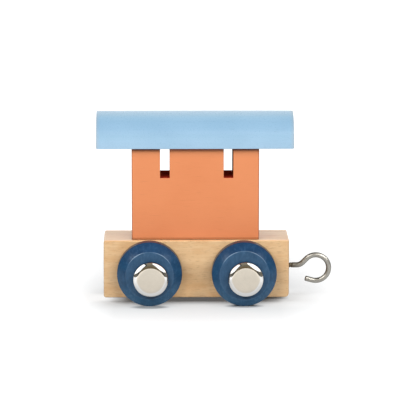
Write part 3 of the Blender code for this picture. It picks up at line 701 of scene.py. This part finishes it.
# ---------------------------------------------------------------- hook
def hook_path():
    """Centreline stations (x, z, direction angle) and the length along it, from the screw point to the open end."""
    z0 = HOOK_HEIGHT
    loop = Vector((CH_HI.x + HOOK_LOOP_X, z0 + HOOK_LOOP_DZ))
    entry = loop + HOOK_LOOP * Vector((math.cos(math.radians(135)), math.sin(math.radians(135))))
    corner = entry.x - (entry.y - z0)
    setback = HOOK_BEND * math.tan(math.radians(22.5))
    start = CH_HI.x - HOOK_SCREW
    stations = []
    x = start
    thread_end = CH_HI.x + 1.3
    while x < thread_end + 0.5:
        stations.append((x, z0, 0.0))
        x += 0.075
    steps = 6
    first = x
    for i in range(steps):
        stations.append((first + (corner - setback - first) * i / steps, z0, 0.0))
    for i, (px, pz) in enumerate(arc(corner - setback, z0 + HOOK_BEND, HOOK_BEND, 270, 315, 14)):
        stations.append((px, pz, 45 * i / 14))
    exit_point = Vector(stations[-1][:2])
    for i in range(1, 4):
        p = exit_point.lerp(entry, i / 4)
        stations.append((p.x, p.y, 45.0))
    for i, (px, pz) in enumerate(arc(loop.x, loop.y, HOOK_LOOP, 135, -105, 90)):
        stations.append((px, pz, 45.0 - 240.0 * i / 90))
    ex, ez, turn = stations[-1]
    d = Vector((math.cos(math.radians(turn)), math.sin(math.radians(turn))))
    for i in range(1, 7):
        stations.append((ex + d.x * HOOK_TIP * i / 6, ez + d.y * HOOK_TIP * i / 6, turn))
    tip = (ex + d.x * HOOK_TIP, ez + d.y * HOOK_TIP)
    ends = []
    for i in range(1, 7):
        a = math.radians(90 * i / 7)
        ends.append((tip[0] + d.x * 0.42 * math.sin(a), tip[1] + d.y * 0.42 * math.sin(a), turn, math.cos(a) ** 0.5))
    return stations, ends, start, thread_end


def make_hook():
    stations, ends, start, thread_end = hook_path()
    pitch, core = 0.85, 0.80
    segs = 32
    rows = []
    for x, z, turn in stations:
        rows.append((x, z, turn, 1.0))
    rows += ends
    bm = bmesh.new()
    loops = []
    for x, z, turn, factor in rows:
        a = math.radians(turn)
        side = Vector((-math.sin(a), 0.0, math.cos(a)))
        ring = []
        for i in range(segs):
            phi = math.tau * i / segs
            radius = HOOK_WIRE * factor
            if x < thread_end + 0.5 and turn == 0.0:
                phase = ((x - start) / pitch - i / segs) % 1.0
                ridge = max(0.0, 1.0 - abs(phase - 0.5) / 0.32)
                ridge = min(1.0, ridge * 1.35)
                fade = min(1.0, max(0.0, (thread_end + 0.5 - x) / 0.7))
                point = min(1.0, 0.10 + (x - start) / 2.6)
                thread = core + (HOOK_WIRE - core) * ridge
                radius = (HOOK_WIRE * (1 - fade) + thread * fade) * point
            ring.append(bm.verts.new((Vector((x, 0, z)) + radius * (side * math.cos(phi) + Vector((0, 1, 0)) * math.sin(phi))) * MM))
        loops.append(ring)
    for a, b in zip(loops, loops[1:]):
        for i in range(segs):
            j = (i + 1) % segs
            bm.faces.new((a[i], a[j], b[j], b[i]))
    bm.faces.new(list(reversed(loops[0])))
    bm.faces.new(loops[-1])
    ob = to_object(bm, "hook_plated", 60)
    return dress(ob, MAT_HOOK, "chassis", "hook_wire", "coupling_hook")


make_chassis()
make_cabin()
make_roof()
make_wheels()
make_caps()
make_hook()

# nodes that stay as they are: rods, washers, dowels
for name, node in frame["nodes"].items():
    if name.endswith("_axle"):
        node.data.materials.clear(); node.data.materials.append(MAT_STEEL)
    elif name.startswith("star_washer"):
        node.data.materials.clear(); node.data.materials.append(MAT_SPRING)
    elif "dowel" in name:
        node.data.materials.clear(); node.data.materials.append(MAT_WOOD)


# ---------------------------------------------------------------- studio
def area_light(name, place, target, size, energy, colour=(1, 1, 1)):
    data = bpy.data.lights.new(name, "AREA")
    data.shape = "RECTANGLE"
    data.size, data.size_y = size
    data.energy = energy
    data.color = colour
    ob = bpy.data.objects.new(name, data)
    bpy.context.scene.collection.objects.link(ob)
    ob.location = place
    ob.rotation_mode = "QUATERNION"
    ob.rotation_quaternion = (Vector(target) - Vector(place)).to_track_quat("-Z", "Y")
    ob.visible_camera = False
    return ob


BRIGHT_METAL = bpy.data.collections.new("bright_metal")
for ob in list(bpy.context.scene.objects):
    if ob.type == "MESH" and any(m in (MAT_NICKEL, MAT_HOOK) for m in ob.data.materials):
        BRIGHT_METAL.objects.link(ob)


def reflector(name, x, front, back, height, radiance):
    """An upright card at x; front and back are the (y, z) ends of its lower edge. Seen in reflections only."""
    a, b = Vector((x, *front)), Vector((x, *back))
    inward = Vector((-math.copysign(1.0, x), 0, 0))
    along = (b - a).normalized()
    up = along.cross(inward) if along.cross(inward).z > 0 else inward.cross(along)
    size = ((b - a).length, height)
    ob = area_light(name, (a + b) / 2 + up * height / 2, (0, 0, 0), size, radiance * math.pi * size[0] * size[1])
    z = -inward
    ob.rotation_quaternion = Matrix((up.cross(z), up, z)).transposed().to_quaternion()
    ob.visible_diffuse = False
    ob.light_linking.receiver_collection = BRIGHT_METAL
    return ob


def make_stage():
    # a pale table that glows round the car as painted light, so that it photographs white; close to the car the glow is
    # dimmed as painted shadow
    bm = bmesh.new()
    bmesh.ops.create_grid(bm, x_segments=8, y_segments=8, size=4.0)
    floor = to_object(bm, "floor")
    n = Nodes("floor_white")
    tone = n.mix(n.noise(n.place((3, 3, 3)), 1.0, 2.0, 0.5), (0.385, 0.395, 0.40), (0.405, 0.415, 0.42))
    spot = n.add("ShaderNodeSeparateXYZ")
    n.link(n.place((1000, 1000, 1000), (6.4, 0.0, 0.0)), spot.inputs[0])
    over_x = n.math("MAXIMUM", n.math("SUBTRACT", n.math("ABSOLUTE", spot.outputs["X"]), 24.0), 0.0)
    over_y = n.math("MAXIMUM", n.math("SUBTRACT", n.math("ABSOLUTE", spot.outputs["Y"]), 6.0), 0.0)
    reach = n.math("SQRT", n.math("ADD", n.math("POWER", over_x, 2.0), n.math("POWER", over_y, 2.0)))
    near = n.math("ADD", n.span(reach, 0.0, 7.0, 0.093, 0.42), n.span(reach, 9.0, 45.0, 0.0, 0.12))
    away = n.math("ADD", n.span(spot.outputs["X"], -29.0, -52.0, 0.0, 0.38), n.span(spot.outputs["X"], 29.0, 58.0, 0.0, 0.28))
    for start, end, extra in ((-17.0, -50.0, 0.14), (-60.0, -200.0, 0.30), (70.0, 140.0, 0.30)):
        away = n.math("ADD", away, n.span(spot.outputs["Y"], start, end, 0.0, extra))
    # painted contact shadows: the glow dimmed under each wheel
    wheel_x = n.math("MULTIPLY", n.math("SUBTRACT", n.math("ABSOLUTE", spot.outputs["X"]), 16.75), 1 / 7.5)
    wheel_y = n.math("MULTIPLY", n.math("SUBTRACT", n.math("ABSOLUTE", spot.outputs["Y"]), n.span(spot.outputs["X"], -4.0, 4.0, 16.6, 15.1)), 1 / 3.5)
    wheel = n.math("SQRT", n.math("ADD", n.math("POWER", wheel_x, 2.0), n.math("POWER", wheel_y, 2.0)))
    shade = n.span(wheel, 0.55, 1.0, 0.0, 1.0)
    # painted shadow: a dark strip under the chassis' right end
    strip = n.math("MULTIPLY", n.span(n.math("ABSOLUTE", spot.outputs["Y"]), 1.5, 4.5, 1.0, 0.0), n.span(spot.outputs["X"], 33.2, 30.4, 0.0, 0.86))
    shade = n.math("MULTIPLY", shade, n.math("SUBTRACT", 1.0, n.math("MULTIPLY", strip, n.span(spot.outputs["X"], 20.0, 22.0))))
    # painted light: more glow under the left end of the chassis
    lift = n.math("MULTIPLY", n.span(n.math("ABSOLUTE", spot.outputs["Y"]), 3.0, 7.0, 0.19, 0.0), n.span(spot.outputs["X"], -25.0, -30.0))
    away = n.math("ADD", away, n.math("MULTIPLY", lift, n.span(spot.outputs["X"], -39.0, -33.0)))
    # in front of the chassis the glow is painted darker on the left, as shadow, and lighter on the right
    fore = n.math("MULTIPLY", n.span(n.math("ABSOLUTE", spot.outputs["Y"]), 6.0, 8.8), n.span(n.math("ABSOLUTE", spot.outputs["Y"]), 13.0, 20.0, 1.0, 0.0))
    left = n.math("MULTIPLY", n.span(spot.outputs["X"], -40.0, -33.0), n.span(spot.outputs["X"], -14.0, -8.0, -0.065, 0.0))
    right = n.math("MULTIPLY", n.span(spot.outputs["X"], 20.0, 25.0), n.span(spot.outputs["X"], 33.0, 42.0, 0.075, 0.0))
    away = n.math("ADD", away, n.math("MULTIPLY", fore, n.math("ADD", left, right)))
    path = n.add("ShaderNodeLightPath")
    away = n.math("MULTIPLY", away, n.math("SUBTRACT", 1.0, n.math("MULTIPLY", path.outputs["Is Glossy Ray"], 0.45)))
    seen = n.math("SUBTRACT", 1.0, path.outputs["Is Diffuse Ray"])
    glow = n.math("MULTIPLY", n.math("MULTIPLY", n.math("ADD", near, away), shade), seen)
    n.finish(Base_Color=tone, Roughness=0.9, Emission_Strength=glow)
    n.bsdf.inputs["Emission Color"].default_value = (1, 1, 1, 1)
    n.bsdf.inputs["Specular IOR Level"].default_value = 0.1
    n.mat.cycles.emission_sampling = "NONE"
    floor.data.materials.append(n.mat)

    # a white wall behind, outside the picture, for the tops and edges to mirror
    bm = bmesh.new()
    bmesh.ops.create_grid(bm, x_segments=2, y_segments=2, size=1.0,
                          matrix=Matrix.Translation((0, 1.5, 1.4)) @ Matrix.Rotation(math.pi / 2, 4, "X") @ Matrix.Diagonal((2.2, 1.4, 1.0, 1.0)))
    wall = to_object(bm, "backdrop")
    n = Nodes("backdrop_white")
    n.finish(Emission_Strength=n.span(n.noise(n.place((1, 1, 1)), 1.0, 1.0, 0.5), 0.0, 1.0, 0.92, 1.0))
    n.bsdf.inputs["Base Color"].default_value = (0.8, 0.8, 0.8, 1)
    n.bsdf.inputs["Emission Color"].default_value = (1, 1, 1, 1)
    wall.data.materials.append(n.mat)

    # two softboxes above the camera's shoulders carry the light; the caps mirror the cards only
    lit = bpy.data.collections.new("lit_by_softboxes")
    for ob in list(bpy.context.scene.objects):
        if ob.type == "MESH" and not any(m is MAT_NICKEL for m in ob.data.materials):
            lit.objects.link(ob)
    for name, azimuth, elevation, size, energy in (("key_left", -42, 35, (1.0, 0.36), 8.5), ("key_right", 38, 36, (1.0, 0.36), 8.5)):
        a, e = math.radians(azimuth), math.radians(elevation)
        place = Vector((math.sin(a) * math.cos(e), -math.cos(a) * math.cos(e), math.sin(e))) * 1.1
        area_light(name, place, (0, 0, 0.03), size, energy).light_linking.receiver_collection = lit
    top = area_light("top_soft", (0, 0.1, 1.2), (0, 0, 0), (1.2, 1.2), 1.0)
    top.visible_glossy = False
    # tall white cards left and right of the camera, for the metal to mirror; their lower edges fall away to the back
    reflector("card_left", -0.42, (-0.62, 0.237), (0.35, 0.015), 0.74, 1.65)
    reflector("card_right", 0.32, (-0.80, 0.250), (0.12, 0.100), 2.4, 1.65)

    over = area_light("card_top", (-0.05, -0.35, 1.5), (-0.05, -0.35, 0), (0.9, 1.6), 0.22 * math.pi * 0.9 * 1.6, (1.0, 0.82, 0.50))
    over.visible_diffuse = False
    over.light_linking.receiver_collection = BRIGHT_METAL

    room = area_light("card_front", (0, -1.5, 0.8), (0, 0, 0.8), (1.6, 1.6), 0.15 * math.pi * 1.6 * 1.6, (1.0, 0.77, 0.38))
    room.visible_diffuse = False
    room.light_linking.receiver_collection = BRIGHT_METAL

    for side in (-1.0, 1.0):
        low = area_light("card_low_left" if side < 0 else "card_low_right", (side * 1.6, -0.2, 0.4), (0, -0.2, 0.4), (2.4, 0.9),
                         0.13 * math.pi * 2.4 * 0.9, (1.0, 0.86, 0.58))
        low.visible_diffuse = False
        low.light_linking.receiver_collection = BRIGHT_METAL

    world = bpy.data.worlds.new("studio")
    bpy.context.scene.world = world
    world.use_nodes = True
    tree = world.node_tree
    back = tree.nodes["Background"]
    path = tree.nodes.new("ShaderNodeLightPath")
    mix = tree.nodes.new("ShaderNodeMix")
    mix.data_type = "RGBA"
    mix.inputs[6].default_value = (0.07, 0.07, 0.07, 1)
    mix.inputs[7].default_value = (1.0, 1.0, 1.0, 1)
    tree.links.new(path.outputs["Is Camera Ray"], mix.inputs[0])
    tree.links.new(mix.outputs[2], back.inputs["Color"])
    back.inputs["Strength"].default_value = 1.0


def make_camera():
    data = bpy.data.cameras.new("camera")
    data.sensor_width = 36.0
    data.lens = 251.99
    data.clip_start, data.clip_end = 0.05, 20.0
    cam = bpy.data.objects.new("camera", data)
    bpy.context.scene.collection.objects.link(cam)
    target = Vector((-5.156, 0.0, 35.544)) * MM
    azimuth, elevation, distance = math.radians(-0.8), math.radians(9.743), 1.0
    back = Vector((math.sin(azimuth) * math.cos(elevation), -math.cos(azimuth) * math.cos(elevation), math.sin(elevation)))
    cam.location = target + back * distance
    cam.rotation_mode = "QUATERNION"
    cam.rotation_quaternion = (-back).to_track_quat("-Z", "Y")
    bpy.context.scene.camera = cam


make_stage()
make_camera()
bpy.context.scene.view_settings.view_transform = "Standard"
bpy.context.scene.view_settings.look = "None"
